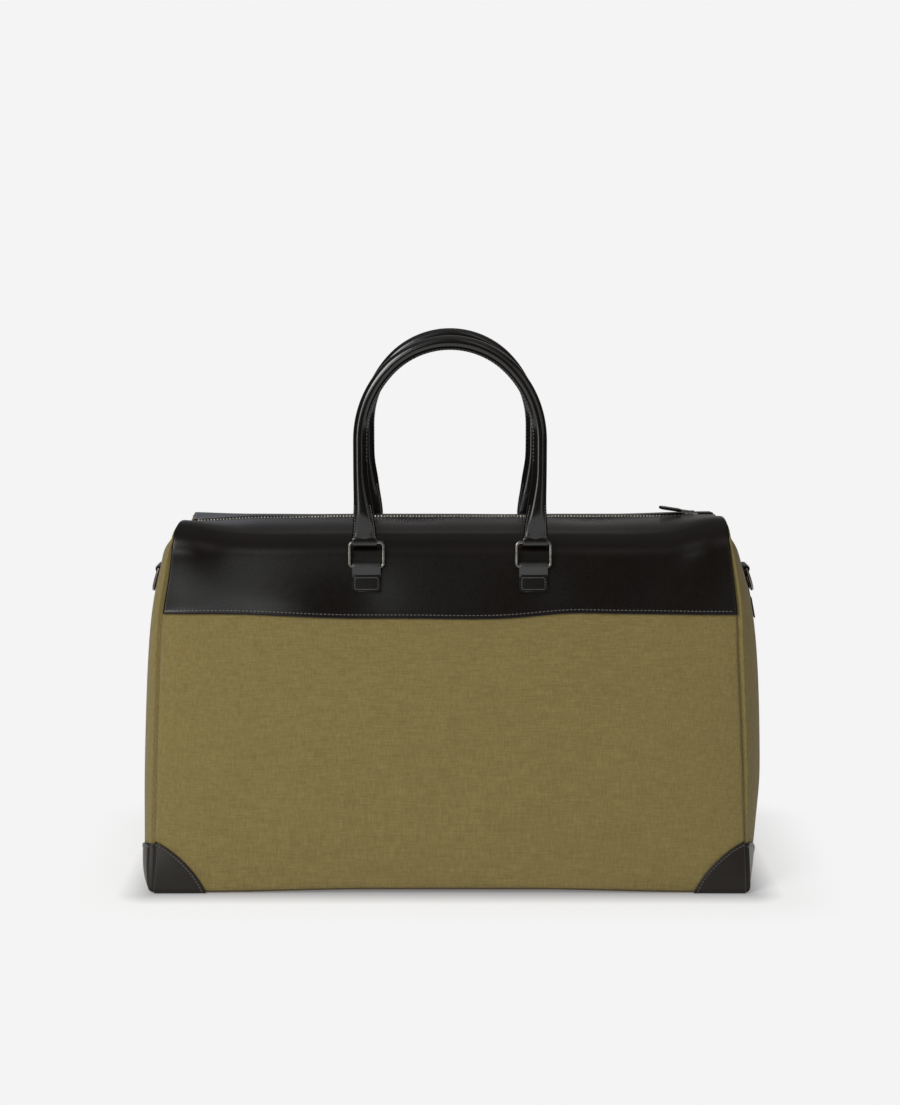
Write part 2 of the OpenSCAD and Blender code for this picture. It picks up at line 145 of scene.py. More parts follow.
def swell(x, s, rear):
    """How far the soft shell stands off the flat section, along its normal."""
    u = x / HALF_L
    if rear:
        u = -0.9 * u + 0.05
        x = HALF_L * u
    t, far = s / FACE_S, abs(x)
    belly = BELLY * (1 - abs(u) ** 3) * math.sin(math.pi * min(1.0, t / 1.03)) ** 1.5
    round_end = -3.0 * math.exp((far - 237) / 15) * smooth(s, 10, 60) * (1 - smooth(s, FACE_S, SHOULDER_S))
    slack = 0.7 * math.sin(2.6 * u + 1.9 * t + 0.6) * (1 - u * u)
    slack *= smooth(t, 0.05, 0.3) * (1 - smooth(t, 0.75, 1))
    at_tabs = hump(far, 70, 26) * hump(s, 268, 34)
    soft_shoulder = -1.8 * hump(s, SHOULDER_S + 2, 20) * (1 - smooth(far, 150, 205))
    soft_edge = -(1.3 + 0.9 * smooth(far, 80, 160)) * hump(s, FACE_S + 14, 20) * (1 - smooth(far, 185, 215))
    up = 0.0 if rear else CORNER_UP[int(x > 0)]
    square_corner = up * hump(s, SHOULDER_S + 9, 25) * smooth(far, 178, 226)
    return ((belly + slack + dents(DENTS, x, s) * (1 - 0.9 * at_tabs)) * (1 - 0.92 * at_tabs)
            + round_end + soft_shoulder + soft_edge + square_corner + dents(TOP_DENTS, x, s))


def rise(x, s):
    """How far the top stands up at its right end, and sinks at its left end."""
    left_dip = LEFT_DIP * (1 - smooth(x, -223, -158)) * smooth(s, SHOULDER_S + 8, TOP_S - SLOT)
    return RIGHT_RISE * smooth(x, 140, 215) * smooth(s, FACE_S, TOP_S) - left_dip


def base_lift(x):
    """The base edge arches up a little between the corner patches."""
    return 2.6 * (1 - smooth(abs(x), 60, 205)) + 0.5


def shell_point(x, s, lift, rear):
    """A point of the front or rear shell, in millimetres."""
    (y, z), (ny, nz) = section(s)
    off = lift + swell(x, s, rear)
    z_low = base_lift(x) * (1 - smooth(s, 0, 30))
    side = -1 if rear else 1
    return np.array([x, side * (y + ny * off), z + nz * off + rise(x, s) + z_low])


def shell_x(u, s):
    """Places u from -1 to 1 between the end seams at length s."""
    z = section(s)[0][1]
    return u * seam_x(z, u > 0)


# ---- Materials ---------------------------------------------------
def feed(tree, socket, value):
    """Gives an input socket its value: a link from another socket, or a constant."""
    if isinstance(value, bpy.types.NodeSocket):
        tree.links.new(value, socket)
    else:
        socket.default_value = value


class Nodes:
    """A short way to write the node tree of a new material."""

    def __init__(self, name):
        self.material = bpy.data.materials.new(name)
        self.material.use_nodes = True
        self.tree = self.material.node_tree
        self.shader = self.tree.nodes["Principled BSDF"]
        self.place = self.tree.nodes.new("ShaderNodeTexCoord").outputs["Object"]

    def put(self, kind, inputs=(), **settings):
        node = self.tree.nodes.new("ShaderNode" + kind)
        for key, value in settings.items():
            setattr(node, key, value)
        for key, value in dict(inputs).items():
            feed(self.tree, node.inputs[key], value)
        return node

    def math(self, operation, a, b=0.0):
        return self.put("Math", {0: a, 1: b}, operation=operation).outputs[0]

    def axes(self):
        return self.put("SeparateXYZ", {0: self.place}).outputs

    def stretched(self, scale):
        return self.put("Mapping", {"Vector": self.place, "Scale": scale}).outputs[0]

    def noise(self, vector, scale, detail=3.0, rough=0.55):
        inputs = {"Vector": vector, "Scale": scale, "Detail": detail, "Roughness": rough}
        return self.put("TexNoise", inputs).outputs["Fac"]

    def ramp(self, value, low, high, a, b, kind="LINEAR"):
        """Maps value from low..high to a..b, clamped."""
        inputs = {"Value": value, "From Min": low, "From Max": high, "To Min": a, "To Max": b}
        return self.put("MapRange", inputs, interpolation_type=kind).outputs[0]

    def mix(self, factor, a, b):
        return self.put("Mix", {0: factor, 6: a, 7: b}, data_type="RGBA").outputs[2]

    def bump(self, height, strength, distance, below=None):
        inputs = {"Height": height, "Strength": strength, "Distance": distance}
        if below is not None:
            inputs["Normal"] = below
        return self.put("Bump", inputs).outputs[0]

    def finish(self, **sockets):
        for key, value in sockets.items():
            feed(self.tree, self.shader.inputs[key.replace("_", " ")], value)
        return self.material


def rgb(r, g, b):
    return (r, g, b, 1.0)


def shade(colour, factor):
    return tuple(c * factor for c in colour[:3]) + (1.0,)


CANVAS_COLOUR = rgb(0.196, 0.151, 0.051)
THREAD_PITCH = 0.00062            # metres between two yarns of the canvas
SLUB_FINE, SLUB_LONG = 1100.0, 75.0        # noise scales across and along a slub, per metre
X, Y, Z = 0, 1, 2


def canvas(name, across, up, colour=CANVAS_COLOUR):
    """Plain-weave cotton canvas with slubbed yarns, its weave along the two axes given."""
    n = Nodes(name)
    xyz = n.axes()
    wobbly = n.math("ADD", n.math("MULTIPLY", n.noise(n.place, 55.0, 2.0), 0.0012), xyz[across])
    warp, weft = (n.math("SINE", n.math("MULTIPLY", axis, math.pi / THREAD_PITCH))
                  for axis in (wobbly, xyz[up]))
    over = n.ramp(n.math("MULTIPLY", warp, weft), -0.4, 0.4, 0.0, 1.0)
    height = n.math("ADD", n.math("MULTIPLY", n.math("ABSOLUTE", warp), over),
                    n.math("MULTIPLY", n.math("ABSOLUTE", weft), n.math("SUBTRACT", 1.0, over)))
    slubs = []
    for long_way in (up, across):
        scale = [SLUB_LONG if axis == long_way else SLUB_FINE for axis in (X, Y, Z)]
        slubs.append(n.noise(n.stretched(scale), 1.0, 2.0))
    slubs = n.math("ADD", *slubs)
    mottle = n.noise(n.place, 22.0, 5.0, 0.6)
    fleck = n.noise(n.place, 700.0, 2.0)
    tone = n.math("ADD", n.ramp(slubs, 0.7, 1.3, -0.15, 0.15), n.ramp(mottle, 0.3, 0.7, -0.02, 0.02))
    tone = n.math("ADD", tone, n.ramp(fleck, 0.35, 0.65, -0.05, 0.05))
    # painted shade: the canvas is darker in the gaps between its yarns, where the weave's height is low
    tone = n.math("ADD", tone, n.ramp(height, 0.2, 1.0, -0.16, 0.05))
    base = n.mix(n.ramp(tone, -0.35, 0.35, 0.0, 1.0), shade(colour, 0.62), shade(colour, 1.38))
    normal = n.bump(slubs, 0.3, 0.0003, n.bump(height, 0.5, 0.00022))
    rough = n.ramp(slubs, 0.7, 1.3, 0.95, 0.8)
    return n.finish(Base_Color=base, Roughness=rough, Normal=normal, Sheen_Weight=0.12, Sheen_Roughness=0.5,
                    Specular_IOR_Level=0.25)


def leather(name, colour, rough, grain, wear, specular, gloss=0.0):
    """Smooth finished leather: fine pores, soft creases and rubbed high spots."""
    n = Nodes(name)
    pores = n.put("TexVoronoi", {"Vector": n.place, "Scale": grain}, feature="SMOOTH_F1").outputs["Distance"]
    creases = n.noise(n.place, 130.0, 6.0, 0.62)
    cloud = n.noise(n.place, 18.0, 4.0)
    fine = n.noise(n.place, grain * 1.7, 2.0)
    factor = n.math("ADD", n.ramp(cloud, 0.3, 0.7, 0.0, 0.6), n.ramp(fine, 0.4, 0.7, 0.0, 0.4))
    base = n.mix(factor, shade(colour, 0.75), shade(colour, 1.35))
    rubbed = n.ramp(n.math("MULTIPLY", creases, cloud), 0.3, 0.42, 0.0, wear)
    base = n.mix(rubbed, base, shade(colour, 2.2))
    roughness = n.math("ADD", n.ramp(creases, 0.3, 0.7, rough - 0.01, rough + 0.02),
                       n.ramp(fine, 0.3, 0.7, -0.02, 0.02))
    normal = n.bump(creases, 0.03, 0.0004, n.bump(pores, 0.15, 0.00012))
    return n.finish(Base_Color=base, Roughness=roughness, Normal=normal, Coat_Weight=gloss,
                    Coat_Roughness=0.12, Specular_IOR_Level=specular)


def metal(name, colour, rough):
    """Plated metal with fine brushing, small pits and a dulled film."""
    n = Nodes(name)
    film = n.noise(n.place, 160.0, 4.0)
    lines = n.noise(n.stretched((600.0, 600.0, 3600.0)), 1.0, 2.0)
    pits = n.noise(n.place, 2200.0, 2.0)
    base = n.mix(n.ramp(film, 0.35, 0.65, 0.0, 1.0), shade(colour, 0.7), shade(colour, 1.2))
    roughness = n.math("ADD", n.ramp(film, 0.3, 0.7, rough - 0.03, rough + 0.05),
                       n.ramp(lines, 0.3, 0.7, -0.04, 0.05))
    normal = n.bump(n.math("ADD", lines, pits), 0.012, 0.00002)
    return n.finish(Base_Color=base, Metallic=1.0, Roughness=roughness, Normal=normal)


def woven(name, colour, pitch, rough=0.8):
    """A fine twill for the tape, lining, board cover and thread."""
    n = Nodes(name)
    xyz = n.axes()
    diagonal = n.math("ADD", n.math("ADD", xyz[0], xyz[1]), xyz[2])
    ribs = n.math("SINE", n.math("MULTIPLY", diagonal, 2 * math.pi / pitch))
    cross = n.math("SINE", n.math("MULTIPLY", n.math("SUBTRACT", xyz[0], xyz[1]), 2 * math.pi / pitch))
    fuzz = n.noise(n.place, 900.0, 3.0)
    # painted shade: the twill is darker in the hollows between its ribs; the fuzz varies it at random
    tone = n.math("ADD", n.ramp(ribs, -1, 1, 0.15, 0.6), n.ramp(fuzz, 0.3, 0.7, -0.15, 0.4))
    base = n.mix(tone, shade(colour, 0.6), shade(colour, 1.5))
    weave = n.bump(n.math("ADD", ribs, n.math("MULTIPLY", cross, 0.5)), 0.35, pitch * 0.25)
    normal = n.bump(fuzz, 0.2, 0.0003, weave)
    return n.finish(Base_Color=base, Roughness=rough, Normal=normal, Sheen_Weight=0.1)


canvas_front = canvas("canvas_front", X, Z)
canvas_side = canvas("canvas_side", Y, Z)
# painted shade: the base cloth is a dark brown copy of the canvas, standing in for the shadow under the
# bag's lower edge
base_canvas_painted_shade = canvas("base_canvas_painted_shade", X, Y, rgb(0.075, 0.05, 0.026))
FINE_GRAIN, STRAP_GRAIN = 1300.0, 1500.0   # pores per metre
yoke_leather = leather("yoke_leather", rgb(0.0036, 0.0021, 0.0013), 0.27, FINE_GRAIN, 0.0, 0.26)
patch_leather = leather("patch_leather", rgb(0.0098, 0.0068, 0.0042), 0.38, FINE_GRAIN, 0.3, 0.3)
strap_leather = leather("strap_leather", rgb(0.0036, 0.0027, 0.0022), 0.32, STRAP_GRAIN, 0.1, 0.25)
# painted highlight: the loop of a tab is a lighter copy of the strap leather, for the light on its bulge
loop_leather_painted_light = leather("loop_leather_painted_light", rgb(0.014, 0.0145, 0.0135), 0.34, STRAP_GRAIN, 0.2, 0.6)
handle_leather = leather("handle_leather", rgb(0.0032, 0.0026, 0.0021), 0.17, STRAP_GRAIN, 0.1, 0.42, 0.4)
ring_metal = metal("ring_metal", rgb(0.2, 0.185, 0.165), 0.17)
zip_metal = metal("zip_metal", rgb(0.36, 0.34, 0.3), 0.36)
thread = woven("thread", rgb(0.115, 0.105, 0.105), 0.0004, 0.6)
zip_tape = woven("zip_tape", rgb(0.006, 0.0055, 0.005), 0.0011)
lining_cloth = woven("lining_cloth", rgb(0.03, 0.03, 0.028), 0.0016)
board_cover = woven("board_cover", rgb(0.09, 0.07, 0.05), 0.0022)
core_cord = woven("core_cord", rgb(0.42, 0.36, 0.25), 0.0026)


# ---- Mesh helpers ------------------------------------------------
def piece(name, verts, faces, material, body, slot, replaces=(), level=1):
    """A mesh in millimetres becomes a finished piece that rides on a body."""
    mesh = bpy.data.meshes.new(name)
    mesh.from_pydata([tuple(float(c) * MM for c in v) for v in verts], [], faces)
    work = bmesh.new()
    work.from_mesh(mesh)
    bmesh.ops.remove_doubles(work, verts=work.verts, dist=1e-6)
    bmesh.ops.recalc_face_normals(work, faces=work.faces)
    work.to_mesh(mesh)
    work.free()
    mesh.polygons.foreach_set("use_smooth", [True] * len(mesh.polygons))
    mesh.materials.append(material)
    obj = bpy.data.objects.new(name, mesh)
    bpy.context.collection.objects.link(obj)
    if level:
        subdivision = obj.modifiers.new("round", "SUBSURF")
        subdivision.levels = subdivision.render_levels = level
    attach(obj, body)
    if replaces:
        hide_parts(*replaces)
    return obj


def joined(parts):
    """Several (verts, faces) as one."""
    verts, faces = [], []
    for part_verts, part_faces in parts:
        start = len(verts)
        verts.extend(part_verts)
        faces.extend([tuple(start + i for i in face) for face in part_faces])
    return verts, faces


def grid_normals(points):
    n = np.cross(np.gradient(points, axis=0), np.gradient(points, axis=1))
    return n / np.maximum(np.linalg.norm(n, axis=2, keepdims=True), 1e-9)


def thick_sheet(outer, thickness, outward):
    """A closed sheet from a grid of outer points; outward is any point on its outer side."""
    outer = np.array(outer, float)
    rows, cols = outer.shape[:2]
    normals = grid_normals(outer)
    middle = outer[rows // 2, cols // 2]
    if np.dot(normals[rows // 2, cols // 2], np.array(outward) - middle) < 0:
        normals = -normals
    inner = outer - normals * thickness
    verts = list(outer.reshape(-1, 3)) + list(inner.reshape(-1, 3))
    count = rows * cols
    at = lambda i, j: i * cols + j
    faces = []
    for i in range(rows - 1):
        for j in range(cols - 1):
            quad = (at(i, j), at(i + 1, j), at(i + 1, j + 1), at(i, j + 1))
            faces.append(quad)
            faces.append(tuple(count + k for k in reversed(quad)))
    rim = ([at(0, j) for j in range(cols)] + [at(i, cols - 1) for i in range(1, rows)]
           + [at(rows - 1, j) for j in range(cols - 2, -1, -1)] + [at(i, 0) for i in range(rows - 2, 0, -1)])
    for a, b in zip(rim, rim[1:] + rim[:1]):
        faces.append((a, b, count + b, count + a))
    return verts, faces


def spread(a, b, count, near_a=(), near_b=None):
    """Values from a to b, evenly, with extra ones at the given distances from either end."""
    near_b = near_a if near_b is None else near_b
    reach_a, reach_b = (max(near, default=0) * 1.2 for near in (near_a, near_b))
    values = set(np.round(np.linspace(a, b, count), 6))
    kept = [v for v in values if abs(v - a) > reach_a and abs(v - b) > reach_b]
    return sorted({*kept, a, b, *(a + d for d in near_a), *(b - d for d in near_b)})


def swept(sections):
    """A closed tube from rings of points, with flat ends."""
    count = len(sections[0])
    verts = [p for ring in sections for p in ring]
    faces = []
    for i in range(len(sections) - 1):
        for j in range(count):
            k = (j + 1) % count
            faces.append((i * count + j, i * count + k, (i + 1) * count + k, (i + 1) * count + j))
    faces.append(tuple(range(count - 1, -1, -1)))
    faces.append(tuple((len(sections) - 1) * count + j for j in range(count)))
    return verts, faces


def band_section(width, thickness):
    """A strap's section, with a small round along its edges: (across, out) pairs."""
    w, t = width / 2, thickness / 2
    e = 0.45
    return [(-w, -t + e), (-w + e, -t), (-w / 2, -t), (w / 2, -t), (w - e, -t), (w, -t + e),
            (w, t - e), (w - e, t), (w / 2, t), (-w / 2, t), (-w + e, t), (-w, t - e)]


def strap(path, normals, across, width, thickness=STRAP_T):
    """A flat strap along a path; across is its constant width direction."""
    section_points = band_section(width, thickness)
    return swept([[p + across * a + n * o for a, o in section_points] for p, n in zip(path, normals)])


def length_along(points):
    """Length of a polyline up to each of its points."""
    return np.concatenate([[0], np.cumsum(np.linalg.norm(np.diff(points, axis=0), axis=1))])


def at_lengths(where, reach, values):
    return np.stack([np.interp(where, reach, values[:, k]) for k in range(3)], axis=1)


STITCH = 3.2                      # pitch of the sewing
STITCH_R = 0.33                   # radius of the thread


def stitch(centre, tangent, out, length, radius):
    """One stitch: a short spindle that dives in at both ends."""
    side = np.cross(tangent, out)
    side /= max(np.linalg.norm(side), 1e-9)
    out = np.cross(side, tangent)
    profile = ((-0.5, 0.45, -0.35), (-0.32, 0.95, 0.0), (0.0, 1.1, 0.12), (0.32, 0.95, 0.0),
               (0.5, 0.45, -0.35))
    angles = [2 * math.pi * k / 6 for k in range(6)]
    return swept([[centre + tangent * position * length + side * math.cos(a) * girth * radius
                   + out * (math.sin(a) * girth * radius + height * radius * 2) for a in angles]
                  for position, girth, height in profile])


def stitch_row(points, outs, pitch=STITCH, radius=STITCH_R, margin=1.0):
    """Stitches along a line of points, lying on the surface whose normals are outs."""
    points, outs = np.array(points, float), np.array(outs, float)
    if outs.ndim == 1:
        outs = np.tile(outs, (len(points), 1))
    reach = length_along(points)
    sewn = reach[-1] - 2 * margin
    count = max(1, int(round(sewn / pitch)))
    where = margin + (np.arange(count) + 0.5) * sewn / count
    places = at_lengths(where, reach, points)
    tangents = at_lengths(where + 0.3, reach, points) - at_lengths(where - 0.3, reach, points)
    tangents /= np.maximum(np.linalg.norm(tangents, axis=1, keepdims=True), 1e-9)
    normals = at_lengths(where, reach, outs)
    normals /= np.linalg.norm(normals, axis=1, keepdims=True)
    return [stitch(p, t, n, pitch * 0.74, radius) for p, t, n in zip(places, tangents, normals)]


def stitching(name, rows, body):
    verts, faces = joined([one for row in rows for one in row])
    return piece(name, verts, faces, thread, body, "strap_leather", level=0)


# ---- Front and rear panels ---------------------------------------
CANVAS_UNDER = 1.3                # how far the canvas lies under the yoke's edge
YOKE_OUT = 0.3                    # how far the yoke stands over the flat section
YOKE_FOLD = 3.4                   # distance of the yoke's stitching from its edge
ZIP_FOLD = TOP_S - SLOT - 2.6     # length up the section of the yoke's stitching along the zip
ACROSS = spread(-1, 1, 91, (0.003, 0.007, 0.012, 0.02))   # columns of a panel, from end seam to end seam


def side_dive(u, reach=2.0):
    """Near an end seam the cloth turns inwards: distance from the seam gives the depth."""
    from_seam = (1 - abs(u)) * HALF_L
    return -SEAM_DEEP * (1 - smooth(from_seam, 0.0, reach)) ** 1.5


def panel_piece(name, rows, thickness, rear, material, slot, node):
    verts, faces = thick_sheet(rows, thickness, (0, 400 if rear else -400, 200))
    return piece(name, verts, faces, material, "bag", slot, (node,))


def canvas_panel(side, rear):
    rows = []
    for t in spread(0, 1, 58, (0.004, 0.010, 0.018), (0.012, 0.03, 0.055)):
        row = []
        for u in ACROSS:
            top = yoke_seam_s(shell_x(u, t * YOKE_Z)) + 7
            s = t * top
            under = -CANVAS_UNDER * smooth(s, top - 20, top - 8) - 0.6 * smooth(s, top - 8, top)
            at_base = -3.0 * (1 - smooth(s, 0.0, 4.0)) ** 1.4
            row.append(shell_point(shell_x(u, s), s, under + side_dive(u) + at_base, rear))
        rows.append(row)
    panel_piece(f"{side}_canvas", rows, CANVAS_T, rear, canvas_front, "canvas", f"{side}_canvas_panel")


def yoke_lift(s, s_edge):
    """Profile of the folded lower edge, its stitch groove and the folded edge at the zip."""
    d = s - s_edge
    fold = 0.55 * smooth(d, -0.2, 0.8) * (1 - smooth(d, YOKE_FOLD - 0.9, YOKE_FOLD + 2.5))
    groove = -0.45 * hump(d, YOKE_FOLD, 0.8)
    zip_edge = 0.4 * smooth(s, ZIP_FOLD - 3.4, ZIP_FOLD + 0.6) - 0.35 * hump(s, ZIP_FOLD, 0.8)
    return YOKE_OUT + fold + groove + zip_edge - 0.3 * (1 - smooth(d, 0, 0.9))


def yoke(side, rear):
    near_edge = (0.004, 0.010, 0.017, 0.024, 0.031, 0.045)
    near_zip = (0.004, 0.010, 0.017, 0.024, 0.034)
    rows = []
    for t in spread(0, 1, 46, near_edge, near_zip):
        row = []
        for u in ACROSS:
            edge = yoke_seam_s(shell_x(u, YOKE_Z))
            s = edge + t * (TOP_S - SLOT - edge)
            dive = side_dive(u, 1.1) * (1 - 0.6 * smooth(s, FACE_S, SHOULDER_S))
            row.append(shell_point(shell_x(u, s), s, yoke_lift(s, edge) + dive, rear))
        rows.append(row)
    panel_piece(f"{side}_yoke", rows, LEATHER_T, rear, yoke_leather, "leather", f"{side}_leather_yoke")


def shell_normal(s, rear):
    ny, nz = section(s)[1]
    return np.array([0.0, -ny if rear else ny, nz])


def yoke_stitching(side, rear):
    """One row along the yoke's lower edge and one along the zip."""
    lines = ([], [])
    for u in np.linspace(-0.985, 0.985, 160):
        edge = yoke_seam_s(shell_x(u, YOKE_Z))
        for line, s in zip(lines, (edge + YOKE_FOLD, ZIP_FOLD)):
            point = shell_point(shell_x(u, s), s, yoke_lift(s, edge) + 0.12, rear)
            line.append((point, shell_normal(s, rear)))
    stitching(f"{side}_yoke_stitching", [stitch_row(*zip(*line)) for line in lines], "bag")


# ---- End gussets -------------------------------------------------
END_BULGE = (12.5, 19.0)          # bulge of the left and right ends, as the CAD has it
END_POWER = (9, 5)                # how squarely each end bulges between its seams
CAD_IN, CAD_IN_EVEN = 21.5, 5.8   # how far the CAD's end seams come in towards the crest
EDGE_MID_S = FACE_S + 0.5 * (SHOULDER_S - FACE_S)          # the middle of the shoulder
END_HEIGHT = 330                  # rough length up an end, for distances from its top seam
TOP_FULL = 3.6                    # how far the ends stand outside the CAD's line just under the top


def end_middle(z, v, right):
    """Where an end stands between its seams: the CAD's line, with more fullness just under the top.
    Towards the seams, v = -1 and 1, it is fuller or flatter low down."""
    t = min(1.0, max(0.0, z / CREST))
    most = END_BULGE[right]
    low = 1 - (1 - 3 / most) * math.exp(-max(z, 0) / 18)
    if right:
        low_side = (0.3 + 0.7 * smooth(z, 20, 95)) * (1 - 0.5 * math.exp(-max(z, 0) / 5))
    else:
        low_side = 1 - 0.76 * math.exp(-max(z, 0) / 7)
    low += (low_side - low) * v * v
    seam = HALF_L - CAD_IN_EVEN * t - (CAD_IN - CAD_IN_EVEN) * t ** 8
    return seam + most * low * (1 - t ** 7) + TOP_FULL * hump(z, 284, 15)


def seam_point(s, rear, right):
    """A point of an end seam, with x as a distance from the middle."""
    x = seam_x(section(s)[0][1], right)
    point = shell_point(x if right else -x, s, 0.0, rear)
    return np.array([x, point[1], point[2]])


def end_frame(v, t, right):
    """Transfinite map of the flat end: base, both sides up to the middle of each shoulder, and the top."""
    def top(w):
        return seam_point(EDGE_MID_S + (1 - abs(w)) * (TOP_S - EDGE_MID_S), w > 0, right)

    corner_f, corner_r = seam_point(0, False, right), seam_point(0, True, right)
    b = (v + 1) / 2
    base = (1 - b) * corner_f + b * corner_r
    front, rear = seam_point(t * EDGE_MID_S, False, right), seam_point(t * EDGE_MID_S, True, right)
    return ((1 - t) * base + t * top(v) + (1 - b) * front + b * rear
            - (1 - b) * (1 - t) * corner_f - b * (1 - t) * corner_r - (1 - b) * t * top(-1) - b * t * top(1))


def seam_distances(v, t):
    """Rough distances, in millimetres, from the nearest side seam and from the top seam of an end."""
    return (1 - abs(v)) * HALF_D * 0.9, (1 - t) * END_HEIGHT


def gusset_point(v, t, lift, right):
    """A point of an end: it rolls out of the seam, then bulges; lift is on top of that."""
    x, y, z = end_frame(v, t, right)
    from_side, from_top = seam_distances(v, t)
    d = min(from_side, from_top)
    full = (1 - abs(v) ** END_POWER[right]) * (1 - smooth(t, 0.92, 1.0))
    fold = math.sin(3.1 * v + 0.02 * z + (0.8 if right else 2.2)) * (1 - v ** 4)
    fold *= smooth(z, 20, 90) * (1 - t) ** 0.3
    fold *= 1 - hump(v, 0, 0.3) * smooth(z, 150, 190)
    roll = 0.9 * hump(d, 3.0, 1.8) - 2.2 * (1 - smooth(d, 0.0, 2.2))
    x += (end_middle(z, v, right) - x) * full + fold + roll + lift * smooth(d, 0.0, 3.0)
    inwards = 3.4 * (1 - smooth(d, 0.0, 3.2)) - lift * (1 - smooth(d, 0.5, 4.5))
    if from_side < from_top:
        y += inwards if v < 0 else -inwards
    else:
        z -= inwards * 0.7
    return np.array([x if right else -x, y, z])


def gusset(side, right):
    vs = spread(-1, 1, 47, (0.008, 0.016, 0.025, 0.035, 0.05))
    ts = spread(0, 1, 58, (0.006, 0.014), (0.003, 0.006, 0.01, 0.015, 0.022))
    rows = [[gusset_point(v, t, 0.0, right) for v in vs] for t in ts]
    verts, faces = thick_sheet(rows, CANVAS_T, (500 if right else -500, 0, 120))
    piece(f"{side}_end", verts, faces, canvas_side, "bag", "canvas", (f"{side}_gusset",))


# ---- Base --------------------------------------------------------
def base_panel():
    rows = []
    for v in spread(-1, 1, 31, (0.01, 0.02, 0.035, 0.06)):
        row = []
        for u in spread(-1, 1, 61, (0.004, 0.009, 0.016, 0.03)):
            corner = 1 - 0.012 * (abs(u) ** 30) * (abs(v) ** 12)
            x, y = u * (HALF_L - 1.2) * corner, v * (HALF_D - 1.0) * corner
            up = max(0.0, abs(v) * HALF_D - 103) / 12
            side_up = max(0.0, abs(u) * HALF_L - 236) / 9
            z = 0.25 + (base_lift(x) + 0.8) * up ** 1.5 + 1.6 * side_up ** 2
            row.append((x, y, z))
        rows.append(row)
    verts, faces = thick_sheet(rows, CANVAS_T, (0, 0, -400))
    # the base takes the darker cloth: painted shade under the lower edge
    piece("base_cloth", verts, faces, base_canvas_painted_shade, "bag", "canvas", ("bottom_panel",))


# ---- Corner patches ----------------------------------------------
PANEL_PATCH = (44.0, 43.0)        # reach along the base and height, on the panel
END_PATCH = (79.0, 41.0)          # the same, on the end
PATCH_T = 1.3
PATCH_POWER = 4 / 3               # shape of a patch's curved edge; 2 would be an ellipse
PATCH_SEWN = 1 - 3.0 / 43         # where the sewing runs, as a part of the patch's reach
PATCH_STEPS = spread(0, 1, 15, (0.02, 0.05), (0.012, 0.03, 0.055, 0.085, 0.12))


def quarter(p, q):
    """Maps the unit square onto the quarter of a rounded corner: the far sides become its curve."""
    m = max(p, q)
    if m < 1e-9:
        return 0.0, 0.0
    k = ((p / m) ** PATCH_POWER + (q / m) ** PATCH_POWER) ** (-1 / PATCH_POWER)
    return p * k, q * k


def patch_lift(m):
    """Height over the canvas: a padded leaf with a folded, sewn edge. m is 1 at the curve."""
    edge = 1 - m
    fold = 0.35 * hump(edge, 0.035, 0.03) - 0.3 * hump(edge, 0.085, 0.02)
    return 1.7 + 0.35 * smooth(edge, 0.1, 0.5) + fold - 0.7 * (1 - smooth(edge, 0.0, 0.018))


def on_panel(a, b, lift, rear, right):
    """A point of a panel patch: a along the base from the seam, b up the panel."""
    x = (seam_x(section(b)[0][1], right) - 0.1 - a) * (1 if right else -1)
    turn = -2.4 * (1 - smooth(a, 0.0, 1.8)) ** 1.5 - 2.2 * (1 - smooth(b, 0.0, 4.0)) ** 1.6
    point = shell_point(x, b, lift + turn, rear)
    point[2] += 0.3 - base_lift(x) * (1 - smooth(b, 0, 30))
    return point


def on_end(a, b, lift, rear, right):
    """A point of an end patch: a along the base from the seam, b up."""
    v = -(1 - (a + 0.3) / HALF_D)
    turn = -1.8 * (1 - smooth(b, 0.0, 4.0)) ** 1.6
    return gusset_point(-v if rear else v, b / EDGE_MID_S, lift + turn, right)


def corner_patches(side_y, rear, side_x, right):
    """The two leaves of a patch, one on the panel and one on the end, each sewn along its curve."""
    corner = f"{side_y}_{side_x}"
    outwards = np.array([1.0 if right else -1.0, 0, 0])
    leaves = (("panel", "panel", on_panel, PANEL_PATCH, (0, 400 if rear else -400, 20),
               shell_normal(0, rear)),
              ("end", "gusset", on_end, END_PATCH, outwards * 900 + (0, 0, 20), outwards))
    for kind, under, place, (w, h), far, normal in leaves:
        rows = []
        for p in PATCH_STEPS:
            spots = [(*quarter(p, q), patch_lift(max(p, q))) for q in PATCH_STEPS]
            rows.append([place(w * a, h * b, lift, rear, right) for a, b, lift in spots])
        verts, faces = thick_sheet(rows, PATCH_T, far)
        piece(f"{corner}_{kind}_leaf", verts, faces, patch_leather, "bag", "leather",
              (f"{corner}_{under}_patch",))
        points = []
        for k in range(41):
            angle = math.pi / 2 * (0.03 + 0.94 * k / 40)
            a = w * math.cos(angle) ** 1.5 * PATCH_SEWN
            b = h * math.sin(angle) ** 1.5 * PATCH_SEWN
            points.append(place(a, b, patch_lift(0.915) + 0.15, rear, right))
        stitching(f"{corner}_{kind}_leaf_stitching", [stitch_row(points, normal, 2.8, 0.28, 1.5)], "bag")


# ---- Ring tabs ---------------------------------------------------
RING_W = 23.6                     # width of the ring tabs
LOOP_R = WIRE_D / 2 + 0.3 + STRAP_T
TAB_PITCH = 2.1
D_TAB_SLOPE = (9.22, 11.15)       # lean of the left and right D-ring tabs, in degrees


def bar_place(ring_box, rear, top):
    """Middle of a ring's lower or upper bar, in (y, z)."""
    low, high = ring_box
    r = WIRE_D / 2
    y_in = (high[1] - r) if not rear else (low[1] + r)
    y_out = (low[1] + r) if not rear else (high[1] - r)
    return (y_in, high[2] - r) if top else (y_out, low[2] + r)


